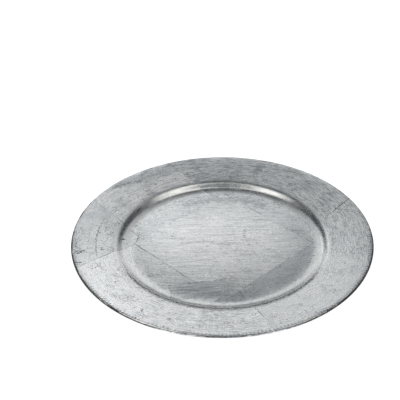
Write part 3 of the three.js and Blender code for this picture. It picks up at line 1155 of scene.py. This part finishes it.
def leaf_finish(name, seed):
    """The material of one sheet or scrap."""
    material, tree, output = new_material(f"{name} finish")
    spot = tree.nodes.new("ShaderNodeTexCoord").outputs["Object"]
    turn = math.radians(-habits(name).brushed)
    streaks = use_group(tree, brushing, Position=spot, Turn=turn, Seed=seed)
    worn = use_group(tree, wear, Position=spot, Seed=seed)
    bare = bare_and_shaded_places(tree, name, spot, seed, streaks, worn)
    calm = ramp(tree, streaks["Wall"], 0, 1, 1.0, WALL_CALM)
    tone = metal_tone_and_painted_light(tree, name, streaks, worn, calm)
    # The deeper the tone, the bluer the colour: a painted cool reflection.
    tint = tinted(tree, ramp(tree, tone, TONE_DEEP, TONE_PALE), LEAF_DEEP_AND_PAINTED_COOL, LEAF_PALE)
    shade = place(tree, "ShaderNodeVectorMath", {"operation": "SCALE"}, Vector=tint, Scale=tone)
    cloudy = sums(tree, "SUBTRACT", worn["Clouds"], 0.5)
    streaky = sums(tree, "SUBTRACT", streaks["Streaks"], 0.5)
    rough = sums(tree, "MULTIPLY_ADD", cloudy, CLOUD_ROUGHNESS, LEAF_ROUGHNESS)
    rough = sums(tree, "MULTIPLY_ADD", streaky, STREAK_ROUGHNESS, rough)
    relief = sums(tree, "MULTIPLY_ADD", worn["Grain"], GRAIN_RELIEF, streaks["Fine Streaks"])
    relief = sums(tree, "MULTIPLY", sums(tree, "SUBTRACT", relief, RELIEF_MIDDLE), calm)
    bump = place(tree, "ShaderNodeBump", Strength=RELIEF_STRENGTH, Distance=RELIEF_DEPTH, Height=relief)
    shader = place(
        tree, "ShaderNodeBsdfPrincipled",
        Base_Color=tinted(tree, bare, shade.outputs["Vector"], BARE_COLOUR), Roughness=rough,
        Metallic=sums(tree, "SUBTRACT", 1.0, bare, clamp=True), Normal=bump.outputs[0],
    )
    tree.links.new(shader.outputs[0], output.inputs["Surface"])
    return material


for number, name in enumerate(ORDER):
    leaves[name].data.materials.append(leaf_finish(name, SEED_STEP * (number + 1)))
    print("finish for", name)

# %% [markdown]
# ## The moulding's finish
# Melamine from a polished mould is black and satin. What keeps it from looking like plain black
# paint is small: a slight ripple from the press, faint turning marks from the mould, thin patches
# of dust, and rubbed bare spots on the foot ring, which slides over tables.

# %% Make the body's material
MELAMINE, MELAMINE_DUSTY = (0.010, 0.0105, 0.0115, 1), (0.030, 0.030, 0.031, 1)
MELAMINE_RUBBED = (0.10, 0.10, 0.10, 1)
MOULD_TURN, MOULD_SEED, DUST_SEED = 0.6, 1.3, 71.0
FOOT_RUB_HEIGHT, FOOT_RUB = 0.0007, (0.40, 0.62)
DUST_CLOUDS, DUST_MOST = (0.45, 0.75), 0.35
SATIN, SATIN_CLOUDS, SATIN_RUBBED = 0.28, 0.20, 0.25
MOULD_RELIEF, PRESS_STRENGTH, PRESS_DEPTH = 0.4, 0.15, 0.0001


def body_finish():
    """Black satin melamine with a little dust, and bare rubs on the foot ring."""
    material, tree, output = new_material("black melamine")
    spot = tree.nodes.new("ShaderNodeTexCoord").outputs["Object"]
    streaks = use_group(tree, brushing, Position=spot, Seed=MOULD_SEED, Turn=MOULD_TURN)
    worn = use_group(tree, wear, Position=spot, Seed=DUST_SEED)
    height = place(tree, "ShaderNodeSeparateXYZ", Vector=spot).outputs["Z"]
    foot = ramp(tree, height, FOOT_RUB_HEIGHT, 0.0)
    rubbed = sums(tree, "MULTIPLY", foot, ramp(tree, streaks["Streaks"], *FOOT_RUB))
    dust = ramp(tree, worn["Clouds"], *DUST_CLOUDS, 0.0, DUST_MOST)
    colour = tinted(tree, dust, MELAMINE, MELAMINE_DUSTY)
    colour = tinted(tree, rubbed, colour, MELAMINE_RUBBED)
    rough = sums(tree, "MULTIPLY_ADD", worn["Clouds"], SATIN_CLOUDS, SATIN)
    rough = sums(tree, "MULTIPLY_ADD", rubbed, SATIN_RUBBED, rough)
    relief = sums(tree, "MULTIPLY_ADD", streaks["Fine Streaks"], MOULD_RELIEF, worn["Clouds"])
    bump = place(tree, "ShaderNodeBump", Strength=PRESS_STRENGTH, Distance=PRESS_DEPTH, Height=relief)
    shader = place(
        tree, "ShaderNodeBsdfPrincipled", Base_Color=colour, Roughness=rough, Normal=bump.outputs[0],
    )
    tree.links.new(shader.outputs[0], output.inputs["Surface"])
    return material


body.data.materials.append(body_finish())
print("finish for the body")
